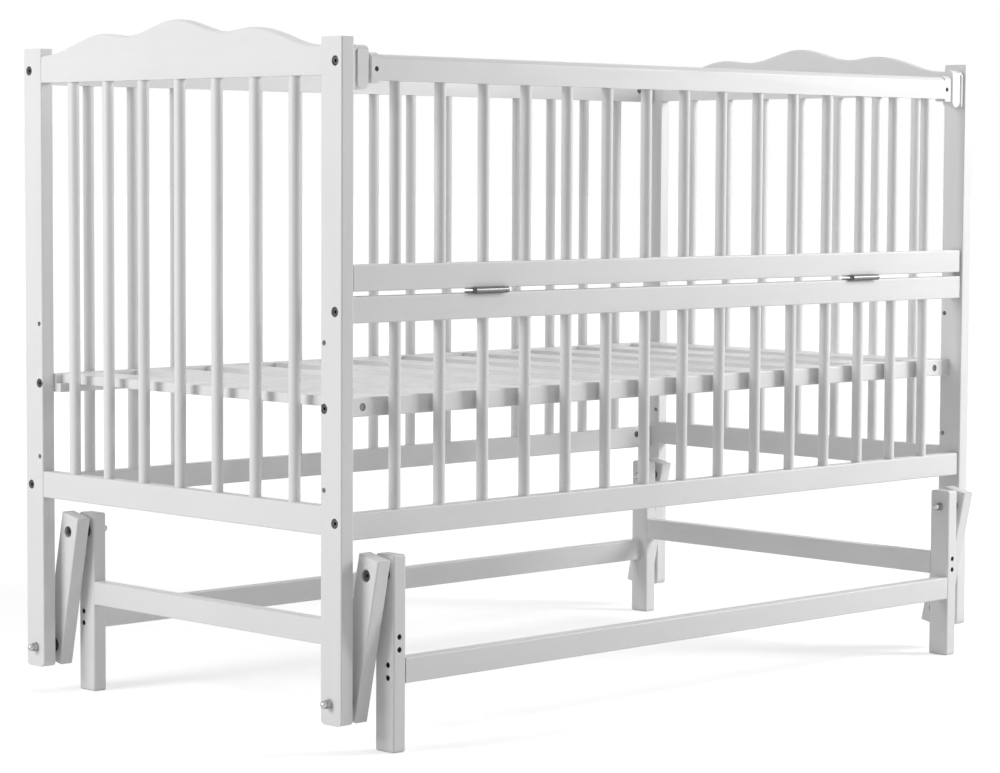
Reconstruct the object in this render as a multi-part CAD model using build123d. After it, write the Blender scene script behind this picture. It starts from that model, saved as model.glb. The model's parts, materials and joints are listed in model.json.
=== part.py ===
# Slatted wooden crib on a swing stand.
# Sizes are in millimetres. +X runs along the crib, -Y is the side whose upper half folds down, +Z is up.
# Pieces are built with the crib's middle at x = 0, y = 0 and the floor at z = 0.
# The last step moves everything along Y, so that the origin is the bottom centre of the whole part.

import math
import os

from build123d import *

os.makedirs("parts", exist_ok=True)

# Mattress space
MATTRESS_LENGTH = 1200.0
MATTRESS_WIDTH = 600.0

# Crib posts
POST_THICK = 20.0
POST_WIDTH = 38.0
POST_LENGTH = 830.0
POST_EDGE_R = 2.0
POST_FOOT_R = 8.0

# Rails of the two long sides: heights above the feet of the posts, top rails below the tops of the posts
RAIL_THICK = 18.0
RAIL_HEIGHT = 32.5
RAIL_SETBACK = 3.0
RAIL_EDGE_R = 2.0
LOW_RAIL_UP = 225.0
MID_RAIL_UP = 487.0
TOP_RAIL_HEIGHT = 31.5
TOP_RAIL_CROWN = 6.0
REAR_TOP_RAIL_BELOW = 47.0
DROP_TOP_RAIL_BELOW = 51.0
SECTION_GAP = 5.8
DROP_SIDE_PLAY = 3.0

# Round slats with turned tenons
SLAT_D = 15.0
SLAT_TENON_D = 10.0
SLAT_TENON_LENGTH = 12.0
SLAT_SOCKET_PLAY = 0.05
LONG_SLATS = 15
END_SLATS = 7
END_SLAT_MARGIN = 59.5

# End panels
END_BOARD_THICK = 18.0
END_BOARD_BELOW = 45.3
END_RAIL_HEIGHT = 35.5
END_RAIL_UP = 230.3
BOARD_SHOULDER = 36.0
BOARD_HUMP_RISE = 61.0
BOARD_VALLEY_RISE = 57.0
BOARD_PEAK_RISE = 75.0
BOARD_VALLEY_PART = 0.343
BOARD_HUMP_PART = 0.53
BOARD_SLOPE_PART = 0.784
BOARD_SLOPE_RISE = 46.0
BOARD_EDGE_R = 4.0

# Mattress base, bolted at the middle one of three heights
BASE_LOW_UP = 285.5
BASE_MIDDLE_UP = 384.0
BASE_HIGH_UP = 463.7
BASE_RAIL_THICK = 20.0
BASE_RAIL_HEIGHT = 24.0
BASE_SIDE_PLAY = 1.0
BASE_SLATS = 10
BASE_SLAT_WIDTH = 60.0
BASE_SLAT_THICK = 12.5
BASE_LEDGE = 10.0
BASE_SLAT_END = 10.0
BASE_HOLE_IN = 10.5

# Frame bolts, cross nuts and dowels
BOLT_D = 6.0
BOLT_HEAD_D = 11.5
BOLT_HEAD_HEIGHT = 3.5
BOLT_HEAD_RECESS = 4.5
BOLT_HEAD_PLAY = 1.0
BOLT_HOLE_PLAY = 0.3
HEX_KEY = 4.0
HEX_KEY_DEPTH = 2.5
CROSS_NUT_D = 10.0
CROSS_NUT_LENGTH = 14.0
CROSS_NUT_IN = 34.0
CROSS_NUT_PLAY = 0.05
CROSS_NUT_SUNK = 1.0
BOLT_PAST_NUT = 8.0
BOLT_HOLE_PAST = 2.0
LOW_BOLT_UP = 21.5
MID_BOLT_UP = 14.5
TOP_BOLT_UP = 18.0
DOWEL_D = 6.0
DOWEL_SHIFT = 11.7
DOWEL_IN_POST = 12.0
DOWEL_IN_RAIL = 20.0
PANEL_DOWEL_D = 8.0
PANEL_DOWEL_IN = 18.0
PANEL_DOWEL_SPACING = 17.5
PANEL_DOWEL_UP = 9.0
DOWEL_PLAY = 0.05

# Hinges of the drop side
HINGE_LENGTH = 57.0
HINGE_FROM_POST = 229.0
HINGE_LEAF_THICK = 1.5
HINGE_LEAF_DEPTH = 15.0
HINGE_BARREL_D = 8.0
HINGE_PIN_D = 3.6
HINGE_FACE_PLAY = 0.2
HINGE_KNUCKLE_GAP = 0.4
HINGE_PIN_PLAY = 0.06
HINGE_SCREW_D = 3.0
HINGE_SCREW_HEAD_D = 5.4
HINGE_SCREW_LENGTH = 14.0
HINGE_SCREW_SPACING = 36.0

# Catches of the drop side
LATCH_BACK_THICK = 4.5
LATCH_SLOT = 4.0
LATCH_LEVER_THICK = 17.0
LATCH_LEVER_GAP = 5.0
LATCH_TOP_RISE = 20.0
LATCH_LEVER_LENGTH = 53.6
LATCH_HINGE_DROP = 4.2
LATCH_BEAD_D = 4.0
LATCH_BEAD_PLAY = 0.1
LATCH_NECK = 1.6
LATCH_BEAD_INSET = 1.0
LATCH_SOCKET_DEPTH = 2.4
LATCH_TOOTH_D = 7.0
LATCH_TOOTH_CLEAR = 0.4
LATCH_TOOTH_UP = 12.0
CAP_LENGTH = 13.0
CAP_TONGUE = 9.0
CAP_WALL = 3.5
CAP_DROP = 3.6
CAP_RISE = 2.0
CAP_SCREW_D = 3.5
CAP_SCREW_HEAD_D = 6.4
CAP_SCREW_SUNK = 1.0

# Swing stand
STAND_LEG_THICK = 21.0
STAND_LEG_DEPTH = 33.0
STAND_LEG_HEIGHT = 242.6
STAND_EDGE_R = 3.0
STAND_RAIL_THICK = 20.0
STAND_RAIL_HEIGHT = 31.5
STAND_LONG_RAIL_UP = 84.0
STAND_END_RAIL_UP = 118.6
SCREW_D = 4.5
SCREW_HEAD_D = 7.0
SCREW_HEAD_HEIGHT = 3.0
SCREW_SUNK = 0.8
SCREW_IN_RAIL = 35.0
SCREW_SPACING = 15.8
SCREW_HEX = 3.0

# Swing links
PIVOT_INSET = 2.0
LINK_SPACING = 160.0
LINK_WIDTH = 36.0
LINK_THICK = 21.0
LINK_BEYOND = 23.0
LINK_BIG_R = 14.0
LINK_SMALL_R = 3.0
LINK_EDGE_R = 2.0
LINK_TO_POST = 9.5
LINK_TO_STAND = 9.5
REST_TILT = 11.7
UPPER_PIVOT_DROP = 23.6
LOWER_PIVOT_UP = 26.5

# Pivot bolts of the links
SHOULDER_D = 8.0
SHOULDER_PLAY = 0.05
PIVOT_HEAD_D = 12.0
PIVOT_HEAD_HEIGHT = 4.0
PIVOT_SINK_D = 15.5
PIVOT_SINK_DEPTH = 7.0
PIVOT_HEAD_CLEAR = 0.2
BUSH_SLEEVE_D = 12.0
BUSH_FLANGE_D = 19.5
BUSH_FACE_CLEAR = 0.2
WASHER_D = 12.5
WASHER_THICK = 1.2
CAP_NUT_ACROSS = 10.0
CAP_NUT_HEX = 5.5
CAP_NUT_DOME_D = 9.4
CAP_NUT_HEIGHT = 12.0
CAP_NUT_DEPTH = 8.0
THREAD_PLAY = 0.05

# How far cutting tools run past a face
PAST = 1.0

# Sizes that follow from the ones above
TILT = math.radians(REST_TILT)
UPPER_PIVOT_Z = STAND_LEG_HEIGHT - UPPER_PIVOT_DROP
LOWER_PIVOT_Z = UPPER_PIVOT_Z - LINK_SPACING * math.cos(TILT)
FOOT_Z = LOWER_PIVOT_Z - LOWER_PIVOT_UP
POST_X = MATTRESS_LENGTH / 2
POST_OUT_X = POST_X + POST_THICK
RAIL_IN_Y = MATTRESS_WIDTH / 2
RAIL_OUT_Y = RAIL_IN_Y + RAIL_THICK
RAIL_Y = RAIL_IN_Y + RAIL_THICK / 2
POST_OUT_Y = RAIL_OUT_Y + RAIL_SETBACK
POST_IN_Y = POST_OUT_Y - POST_WIDTH
POST_Y = POST_OUT_Y - POST_WIDTH / 2
END_X = POST_X + POST_THICK / 2
LOW_RAIL_Z = FOOT_Z + LOW_RAIL_UP
MID_RAIL_Z = FOOT_Z + MID_RAIL_UP
DROP_LOW_RAIL_Z = MID_RAIL_Z + RAIL_HEIGHT + SECTION_GAP
POST_TOP_Z = FOOT_Z + POST_LENGTH
DROP_TOP_RAIL_Z = POST_TOP_Z - DROP_TOP_RAIL_BELOW
REAR_TOP_RAIL_Z = POST_TOP_Z - REAR_TOP_RAIL_BELOW
END_BOARD_Z = POST_TOP_Z - END_BOARD_BELOW
END_RAIL_Z = FOOT_Z + END_RAIL_UP
DROP_HALF = POST_X - DROP_SIDE_PLAY
LONG_PITCH = 2 * DROP_HALF / (LONG_SLATS + 1)
END_PITCH = 2 * (POST_IN_Y - END_SLAT_MARGIN) / (END_SLATS - 1)
BASE_Z = FOOT_Z + BASE_MIDDLE_UP
BASE_HOLE_Y = RAIL_IN_Y - BASE_HOLE_IN
PIVOT_HALF_Y = POST_Y - PIVOT_INSET
HINGE_X = POST_X - HINGE_FROM_POST
BASE_RAIL_OUT_Y = RAIL_IN_Y - BASE_SIDE_PLAY
BASE_RAIL_IN_Y = BASE_RAIL_OUT_Y - BASE_RAIL_THICK
LINK_OUT_X = POST_X - LINK_TO_POST
LINK_IN_X = LINK_OUT_X - LINK_THICK
STAND_X = LINK_IN_X - LINK_TO_STAND
STAND_IN_X = STAND_X - STAND_LEG_THICK
STAND_SHIFT_Y = -LINK_SPACING * math.sin(TILT)
HINGE_Y = -RAIL_OUT_Y - HINGE_BARREL_D / 2 - HINGE_FACE_PLAY
HINGE_Z = MID_RAIL_Z + RAIL_HEIGHT + SECTION_GAP / 2
LATCH_BOLT_Z = REAR_TOP_RAIL_Z + TOP_BOLT_UP
LATCH_TOP_Z = LATCH_BOLT_Z + LATCH_TOP_RISE
LATCH_LEVER_OUT_X = POST_X - LATCH_BACK_THICK - LATCH_SLOT
LATCH_LEVER_IN_X = LATCH_LEVER_OUT_X - LATCH_LEVER_THICK
LATCH_HINGE_X = LATCH_LEVER_OUT_X + LATCH_SLOT / 2
LATCH_HINGE_Z = LATCH_TOP_Z - LATCH_HINGE_DROP
CAP_OUT_X = LATCH_LEVER_IN_X - LATCH_LEVER_GAP
CAP_IN_X = CAP_OUT_X - CAP_LENGTH
CAP_BOTTOM_Z = DROP_TOP_RAIL_Z - CAP_DROP
CAP_TOP_Z = DROP_TOP_RAIL_Z + TOP_RAIL_HEIGHT + CAP_RISE
LATCH_TOOTH_Z = LATCH_TOP_Z - LATCH_LEVER_LENGTH + LATCH_TOOTH_UP

SIDES = (("left", -1), ("right", 1))
DEPTHS = (("front", -1), ("rear", 1))
pieces = {}


def bar(x, y, z, along, radius):
    """Box between two corners, with the edges along one axis rounded."""
    low = Vector(min(x), min(y), min(z))
    high = Vector(max(x), max(y), max(z))
    size = high - low
    body = Pos(*(low + size * 0.5)) * Box(size.X, size.Y, size.Z)
    if radius <= 0:
        return body
    return fillet(body.edges().filter_by(along), radius)


def rod(axis, start, end, across, radius):
    """Round rod along one axis; across holds its place on the other two axes, in the order x, y, z."""
    middle = (start + end) / 2
    length = abs(end - start)
    if axis == "x":
        return Pos(middle, across[0], across[1]) * Rot(0, 90, 0) * Cylinder(radius, length)
    if axis == "y":
        return Pos(across[0], middle, across[1]) * Rot(90, 0, 0) * Cylinder(radius, length)
    return Pos(across[0], across[1], middle) * Cylinder(radius, length)


def hex_rod(axis, start, end, across, width):
    """Hexagonal rod along one axis, measured across its flats."""
    middle = (start + end) / 2
    length = abs(end - start)
    prism = extrude(RegularPolygon(width / 2, 6, major_radius=False), length / 2, both=True)
    if axis == "x":
        return Pos(middle, across[0], across[1]) * Rot(0, 90, 0) * prism
    return Pos(across[0], middle, across[1]) * Rot(90, 0, 0) * prism


def crowned(x_low, x_high, z_low, z_high, rise):
    """Bar along X with a rounded top, as thick as a side rail and centred on y = 0."""
    half = RAIL_THICK / 2
    edge = z_high - z_low - rise
    low_r = min(RAIL_EDGE_R, half / 2)
    with BuildSketch(Plane.YZ) as profile:
        with BuildLine():
            Polyline((-half, edge), (-half, 0), (half, 0), (half, edge))
            ThreePointArc((half, edge), (0, edge + rise), (-half, edge))
        make_face()
        fillet(profile.vertices().sort_by(Axis.Z)[:2], low_r)
    body = extrude(profile.sketch, x_high - x_low)
    return Pos(x_low, 0, z_low) * body


def add(name, *solids):
    """Store a named node as one or more separate solids."""
    flat = []
    for solid in solids:
        flat.extend(solid.solids())
    pieces[name] = flat


def slat(place, z_low, z_high):
    """Round slat between two rails, with a tenon at each end."""
    body = rod("z", z_low, z_high, place, SLAT_D / 2)
    return body + rod("z", z_low - SLAT_TENON_LENGTH, z_high + SLAT_TENON_LENGTH, place, SLAT_TENON_D / 2)


def socket(place, z_face, direction):
    """Blind hole for a slat's tenon, going into a rail from its face."""
    radius = SLAT_TENON_D / 2 + SLAT_SOCKET_PLAY
    return rod("z", z_face, z_face + direction * SLAT_TENON_LENGTH, place, radius)


def frame_bolt(side, y, z, end_x):
    """Button-head bolt whose head is sunk in a post's outer end face."""
    seat = POST_OUT_X - BOLT_HEAD_RECESS
    head = rod("x", side * seat, side * (seat + BOLT_HEAD_HEIGHT), (y, z), BOLT_HEAD_D / 2)
    head = fillet(head.edges().sort_by(Axis.X)[-1 if side > 0 else 0], BOLT_HEAD_HEIGHT / 3)
    key_x = seat + BOLT_HEAD_HEIGHT - HEX_KEY_DEPTH
    body = head + rod("x", side * end_x, side * (seat + BOLT_HEAD_HEIGHT / 2), (y, z), BOLT_D / 2)
    return body - hex_rod("x", side * key_x, side * (seat + BOLT_HEAD_HEIGHT + 1), (y, z), HEX_KEY)


def post_bolt_hole(side, y, z):
    """Stepped hole through a post for a frame bolt."""
    seat = POST_OUT_X - BOLT_HEAD_RECESS
    wide = rod("x", side * seat, side * (POST_OUT_X + PAST), (y, z), (BOLT_HEAD_D + BOLT_HEAD_PLAY) / 2)
    hole_r = BOLT_D / 2 + BOLT_HOLE_PLAY
    return wide + rod("x", side * (POST_X - PAST), side * (POST_OUT_X + PAST), (y, z), hole_r)


def rail_end_cuts(side, y, z, nut_face_y, nut_sign):
    """Bolt bore and cross-nut hole in the end of a rail; the cross nut goes in from nut_face_y."""
    end_x = POST_X - CROSS_NUT_IN - BOLT_PAST_NUT - BOLT_HOLE_PAST
    bore = rod("x", side * end_x, side * (POST_X + PAST), (y, z), BOLT_D / 2 + BOLT_HOLE_PLAY)
    deep = nut_face_y + nut_sign * (CROSS_NUT_SUNK + CROSS_NUT_LENGTH)
    place = (side * (POST_X - CROSS_NUT_IN), z)
    return bore + rod("y", nut_face_y - nut_sign * PAST, deep, place, CROSS_NUT_D / 2 + CROSS_NUT_PLAY)


def cross_nut(side, y, z, nut_face_y, nut_sign):
    """Round nut across a rail, with its threaded hole along X."""
    place = (side * (POST_X - CROSS_NUT_IN), z)
    near = nut_face_y + nut_sign * CROSS_NUT_SUNK
    body = rod("y", near, near + nut_sign * CROSS_NUT_LENGTH, place, CROSS_NUT_D / 2)
    hole_low = side * (POST_X - CROSS_NUT_IN - CROSS_NUT_D)
    hole_high = side * (POST_X - CROSS_NUT_IN + CROSS_NUT_D)
    return body - rod("x", hole_low, hole_high, (y, z), BOLT_D / 2 + THREAD_PLAY)


def wood_dowel(side, y, z):
    """Wooden dowel between a post and the end of a side rail."""
    return rod("x", side * (POST_X - DOWEL_IN_RAIL), side * (POST_X + DOWEL_IN_POST), (y, z), DOWEL_D / 2)


def dowel_hole(side, y, z):
    """Hole for a rail dowel, through the joint face on both pieces."""
    low = side * (POST_X - DOWEL_IN_RAIL)
    high = side * (POST_X + DOWEL_IN_POST)
    return rod("x", low, high, (y, z), DOWEL_D / 2 + DOWEL_PLAY)


def long_slat_places(y):
    """Slat positions of a long side."""
    return [(-DROP_HALF + LONG_PITCH * (i + 1), y) for i in range(LONG_SLATS)]


def end_slat_places(x):
    """Slat positions of an end panel."""
    first = END_SLAT_MARGIN - POST_IN_Y
    return [(x, first + END_PITCH * i) for i in range(END_SLATS)]


# Where the side rails meet the posts: side of the crib, height of the rail, bolt height, dowel height
front_joints = [
    (LOW_RAIL_Z + LOW_BOLT_UP, LOW_RAIL_Z + LOW_BOLT_UP - DOWEL_SHIFT),
    (MID_RAIL_Z + MID_BOLT_UP, MID_RAIL_Z + MID_BOLT_UP + DOWEL_SHIFT),
]
rear_joints = [
    (LOW_RAIL_Z + LOW_BOLT_UP, LOW_RAIL_Z + LOW_BOLT_UP - DOWEL_SHIFT),
    (REAR_TOP_RAIL_Z + TOP_BOLT_UP, REAR_TOP_RAIL_Z + TOP_BOLT_UP - DOWEL_SHIFT),
]
rail_joints = {"front": front_joints, "rear": rear_joints}
panel_dowel_zs = []
for panel_low in (END_RAIL_Z, END_BOARD_Z):
    for step in range(2):
        panel_dowel_zs.append(panel_low + PANEL_DOWEL_UP + PANEL_DOWEL_SPACING * step)

# Posts
for side_name, side in SIDES:
    for depth_name, depth in DEPTHS:
        post = bar(
            (side * POST_X, side * POST_OUT_X),
            (depth * POST_IN_Y, depth * POST_OUT_Y),
            (FOOT_Z, FOOT_Z + POST_LENGTH),
            Axis.Z,
            POST_EDGE_R,
        )
        post = fillet(post.edges().group_by(Axis.Z)[-1], POST_EDGE_R / 2)
        foot_tool = bar(
            (side * (POST_X - PAST), side * (POST_OUT_X + PAST)),
            (depth * POST_IN_Y, depth * POST_OUT_Y),
            (FOOT_Z, FOOT_Z + POST_LENGTH + POST_FOOT_R),
            Axis.X,
            POST_FOOT_R,
        )
        top_fill = bar(
            (side * (POST_X - PAST), side * (POST_OUT_X + PAST)),
            (depth * POST_IN_Y, depth * POST_OUT_Y),
            (FOOT_Z + POST_LENGTH / 2, FOOT_Z + POST_LENGTH + POST_FOOT_R),
            Axis.X,
            0,
        )
        post = post & (foot_tool + top_fill)
        for bolt_z, dowel_z in rail_joints[depth_name]:
            post -= post_bolt_hole(side, depth * RAIL_Y, bolt_z)
            post -= dowel_hole(side, depth * RAIL_Y, dowel_z)
        post -= post_bolt_hole(side, depth * BASE_HOLE_Y, BASE_Z)
        for hole_up in (BASE_LOW_UP, BASE_HIGH_UP):
            place = (depth * BASE_HOLE_Y, FOOT_Z + hole_up)
            hole_r = BOLT_D / 2 + BOLT_HOLE_PLAY
            post -= rod("x", side * (POST_X - PAST), side * (POST_OUT_X + PAST), place, hole_r)
        if depth < 0:
            post -= post_bolt_hole(side, depth * RAIL_Y, LATCH_BOLT_Z)
        for dowel_z in panel_dowel_zs:
            start = depth * (POST_IN_Y - 1)
            post -= rod("y", start, depth * (POST_IN_Y + PANEL_DOWEL_IN), (side * END_X, dowel_z),
                        PANEL_DOWEL_D / 2 + DOWEL_PLAY)
        place = (depth * PIVOT_HALF_Y, LOWER_PIVOT_Z)
        hole_r = BOLT_D / 2 + BOLT_HOLE_PLAY
        post -= rod("x", side * (POST_X - PAST), side * (POST_OUT_X + PAST), place, hole_r)
        add(f"post_{depth_name}_{side_name}", post)

# End panels: shaped top board, bottom rail and slats between the posts
for side_name, side in SIDES:
    board_x = side * END_X
    with BuildSketch(Plane.YZ) as board_profile:
        with BuildLine():
            Polyline((-POST_IN_Y, BOARD_SHOULDER), (-POST_IN_Y, 0), (POST_IN_Y, 0),
                     (POST_IN_Y, BOARD_SHOULDER))
            Spline(
                (POST_IN_Y, BOARD_SHOULDER),
                (BOARD_SLOPE_PART * POST_IN_Y, BOARD_SLOPE_RISE),
                (BOARD_HUMP_PART * POST_IN_Y, BOARD_HUMP_RISE),
                (BOARD_VALLEY_PART * POST_IN_Y, BOARD_VALLEY_RISE),
                (0, BOARD_PEAK_RISE),
                (-BOARD_VALLEY_PART * POST_IN_Y, BOARD_VALLEY_RISE),
                (-BOARD_HUMP_PART * POST_IN_Y, BOARD_HUMP_RISE),
                (-BOARD_SLOPE_PART * POST_IN_Y, BOARD_SLOPE_RISE),
                (-POST_IN_Y, BOARD_SHOULDER),
                tangents=((-1, 0), (-1, 0)),
            )
        make_face()
    board = extrude(board_profile.sketch, END_BOARD_THICK / 2, both=True)
    board = Pos(board_x, 0, END_BOARD_Z) * board
    top_edges = [e for e in board.edges() if e.geom_type == GeomType.BSPLINE]
    board = fillet(top_edges, BOARD_EDGE_R)
    rail = bar(
        (board_x - END_BOARD_THICK / 2, board_x + END_BOARD_THICK / 2),
        (-POST_IN_Y, POST_IN_Y),
        (END_RAIL_Z, END_RAIL_Z + END_RAIL_HEIGHT),
        Axis.Y,
        RAIL_EDGE_R,
    )
    slats = []
    for place in end_slat_places(board_x):
        board -= socket(place, END_BOARD_Z, 1)
        rail -= socket(place, END_RAIL_Z + END_RAIL_HEIGHT, -1)
        slats.append(slat(place, END_RAIL_Z + END_RAIL_HEIGHT, END_BOARD_Z))
    for dowel_z in panel_dowel_zs:
        for depth in (-1, 1):
            low = depth * (POST_IN_Y - PANEL_DOWEL_IN)
            hole = rod("y", low, depth * (POST_IN_Y + 1), (board_x, dowel_z), PANEL_DOWEL_D / 2 + DOWEL_PLAY)
            if dowel_z < END_BOARD_Z:
                rail -= hole
            else:
                board -= hole
    add(f"end_board_{side_name}", board)
    add(f"end_bottom_rail_{side_name}", rail)
    add(f"end_slats_{side_name}", *slats)


def side_rail(z_low, height, depth, joints, crown):
    """Fixed rail of a long side with its bolt, cross-nut and dowel holes."""
    if crown > 0:
        rail = Pos(0, depth * RAIL_Y, 0) * crowned(-POST_X, POST_X, z_low, z_low + height, crown)
    else:
        rail = bar((-POST_X, POST_X), (depth * RAIL_IN_Y, depth * RAIL_OUT_Y), (z_low, z_low + height),
                   Axis.X, RAIL_EDGE_R)
    for bolt_z, dowel_z in joints:
        for _, side in SIDES:
            rail -= rail_end_cuts(side, depth * RAIL_Y, bolt_z, depth * RAIL_IN_Y, depth)
            rail -= dowel_hole(side, depth * RAIL_Y, dowel_z)
    return rail


# Rear side
rear_low = side_rail(LOW_RAIL_Z, RAIL_HEIGHT, 1, rear_joints[:1], 0)
rear_top = side_rail(REAR_TOP_RAIL_Z, TOP_RAIL_HEIGHT, 1, rear_joints[1:], TOP_RAIL_CROWN)
rear_slats = []
for place in long_slat_places(RAIL_Y):
    rear_low -= socket(place, LOW_RAIL_Z + RAIL_HEIGHT, -1)
    rear_top -= socket(place, REAR_TOP_RAIL_Z, 1)
    rear_slats.append(slat(place, LOW_RAIL_Z + RAIL_HEIGHT, REAR_TOP_RAIL_Z))

# Fixed lower half of the front side
front_low = side_rail(LOW_RAIL_Z, RAIL_HEIGHT, -1, front_joints[:1], 0)
front_mid = side_rail(MID_RAIL_Z, RAIL_HEIGHT, -1, front_joints[1:], 0)
front_slats = []
for place in long_slat_places(-RAIL_Y):
    front_low -= socket(place, LOW_RAIL_Z + RAIL_HEIGHT, -1)
    front_mid -= socket(place, MID_RAIL_Z, 1)
    front_slats.append(slat(place, LOW_RAIL_Z + RAIL_HEIGHT, MID_RAIL_Z))

# Folding upper half of the front side
drop_low = bar((-DROP_HALF, DROP_HALF), (-RAIL_OUT_Y, -RAIL_IN_Y),
               (DROP_LOW_RAIL_Z, DROP_LOW_RAIL_Z + RAIL_HEIGHT), Axis.X, RAIL_EDGE_R)
drop_top = Pos(0, -RAIL_Y, 0) * crowned(-CAP_IN_X, CAP_IN_X, DROP_TOP_RAIL_Z,
                                        DROP_TOP_RAIL_Z + TOP_RAIL_HEIGHT, TOP_RAIL_CROWN)
tongue_low_z = DROP_TOP_RAIL_Z + CAP_WALL
tongue_high_z = DROP_TOP_RAIL_Z + TOP_RAIL_HEIGHT - TOP_RAIL_CROWN - CAP_WALL / 2
tongue = bar((-CAP_IN_X - CAP_TONGUE, CAP_IN_X + CAP_TONGUE),
             (-RAIL_OUT_Y + CAP_WALL, -RAIL_IN_Y - CAP_WALL), (tongue_low_z, tongue_high_z), Axis.X, 0)
drop_top += tongue
drop_slats = []
for place in long_slat_places(-RAIL_Y):
    drop_low -= socket(place, DROP_LOW_RAIL_Z + RAIL_HEIGHT, -1)
    drop_top -= socket(place, DROP_TOP_RAIL_Z, 1)
    drop_slats.append(slat(place, DROP_LOW_RAIL_Z + RAIL_HEIGHT, DROP_TOP_RAIL_Z))

# Plastic end caps of the folding half, slipped over the tongues of its top rail and screwed from the front
cap_screws = []
cap_screw_z = (tongue_low_z + tongue_high_z) / 2
for side_name, side in SIDES:
    low_x, high_x = sorted((side * CAP_IN_X, side * CAP_OUT_X))
    cap = Pos(0, -RAIL_Y, 0) * crowned(low_x, high_x, CAP_BOTTOM_Z, CAP_TOP_Z, TOP_RAIL_CROWN)
    cap -= bar((side * (CAP_IN_X - 1), side * (CAP_IN_X + CAP_TONGUE)),
               (-RAIL_OUT_Y + CAP_WALL, -RAIL_IN_Y - CAP_WALL), (tongue_low_z, tongue_high_z), Axis.X, 0)
    cap -= rod("x", side * (CAP_OUT_X - LATCH_SOCKET_DEPTH), side * (CAP_OUT_X + PAST),
               (-RAIL_Y, LATCH_TOOTH_Z), LATCH_TOOTH_D / 2 + LATCH_TOOTH_CLEAR)
    screw_x = side * (CAP_IN_X + CAP_TONGUE / 2)
    front_y = -RAIL_OUT_Y
    sunk = rod("y", front_y - 1, front_y + CAP_SCREW_SUNK, (screw_x, cap_screw_z), CAP_SCREW_HEAD_D / 2 + 0.1)
    cone_y = front_y + CAP_SCREW_SUNK
    cone_deep = (CAP_SCREW_HEAD_D - CAP_SCREW_D) / 2
    cone = Pos(screw_x, cone_y + cone_deep / 2, cap_screw_z) * Rot(90, 0, 0) * Cone(
        CAP_SCREW_D / 2, CAP_SCREW_HEAD_D / 2, cone_deep)
    screw_tip_y = -RAIL_IN_Y - CAP_WALL - PAST
    shank = rod("y", cone_y + cone_deep / 2, screw_tip_y, (screw_x, cap_screw_z), CAP_SCREW_D / 2)
    screw = cone + shank
    hole = sunk + cone + rod("y", cone_y, screw_tip_y, (screw_x, cap_screw_z), CAP_SCREW_D / 2)
    cap -= hole
    drop_top -= hole
    screw -= hex_rod("y", cone_y - 1, cone_y + cone_deep, (screw_x, cap_screw_z), CAP_SCREW_D / 2)
    cap_screws.append(screw)
    add(f"drop_side_end_cap_{side_name}", cap)

# Hinges between the two halves: a leaf on each rail, three knuckles and a pin
lower_leaves = []
upper_leaves = []
hinge_pins = []
lower_screws = []
upper_screws = []
knuckle = HINGE_LENGTH / 3
leaf_back_y = -RAIL_OUT_Y + HINGE_LEAF_DEPTH
leaf_front_y = HINGE_Y + HINGE_BARREL_D / 2 + HINGE_KNUCKLE_GAP
leaf_low_z = MID_RAIL_Z + RAIL_HEIGHT
leaf_high_z = DROP_LOW_RAIL_Z
bore_r = HINGE_PIN_D / 2 + HINGE_PIN_PLAY
for _, side in SIDES:
    x = side * HINGE_X
    half = HINGE_LENGTH / 2
    lower_zs = (leaf_low_z, leaf_low_z + HINGE_LEAF_THICK)
    upper_zs = (leaf_high_z - HINGE_LEAF_THICK, leaf_high_z)
    lower = bar((x - half, x + half), (leaf_front_y, leaf_back_y), lower_zs, Axis.Z, 0)
    upper = bar((x - half, x + half), (leaf_front_y, leaf_back_y), upper_zs, Axis.Z, 0)
    for index in range(3):
        start = x - half + knuckle * index + (HINGE_KNUCKLE_GAP / 2 if index > 0 else 0)
        end = x - half + knuckle * (index + 1) - (HINGE_KNUCKLE_GAP / 2 if index < 2 else 0)
        barrel = rod("x", start, end, (HINGE_Y, HINGE_Z), HINGE_BARREL_D / 2)
        if index == 1:
            upper += barrel
            upper += bar((start, end), (HINGE_Y, leaf_back_y), upper_zs, Axis.Z, 0)
        else:
            lower += barrel
            lower += bar((start, end), (HINGE_Y, leaf_back_y), lower_zs, Axis.Z, 0)
    lower -= rod("x", x - half - 1, x + half + 1, (HINGE_Y, HINGE_Z), HINGE_PIN_D / 2)
    upper -= rod("x", x - half - 1, x + half + 1, (HINGE_Y, HINGE_Z), bore_r)
    hinge_pins.append(rod("x", x - half, x + half, (HINGE_Y, HINGE_Z), HINGE_PIN_D / 2))
    for step in (-1, 1):
        screw_place = (x + step * HINGE_SCREW_SPACING / 2, leaf_back_y - HINGE_LEAF_DEPTH / 2)
        for direction, face in ((-1, leaf_low_z + HINGE_LEAF_THICK), (1, leaf_high_z - HINGE_LEAF_THICK)):
            head = Pos(screw_place[0], screw_place[1], face + direction * HINGE_LEAF_THICK / 2) * Cone(
                HINGE_SCREW_D / 2 if direction < 0 else HINGE_SCREW_HEAD_D / 2,
                HINGE_SCREW_HEAD_D / 2 if direction < 0 else HINGE_SCREW_D / 2,
                HINGE_LEAF_THICK)
            shank = rod("z", face + direction * HINGE_LEAF_THICK / 2, face + direction * HINGE_SCREW_LENGTH,
                        screw_place, HINGE_SCREW_D / 2)
            screw = head + shank
            if direction < 0:
                lower -= screw
                front_mid -= screw
                lower_screws.append(screw)
            else:
                upper -= screw
                drop_low -= screw
                upper_screws.append(screw)
    lower_leaves.append(lower)
    upper_leaves.append(upper)

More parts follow.
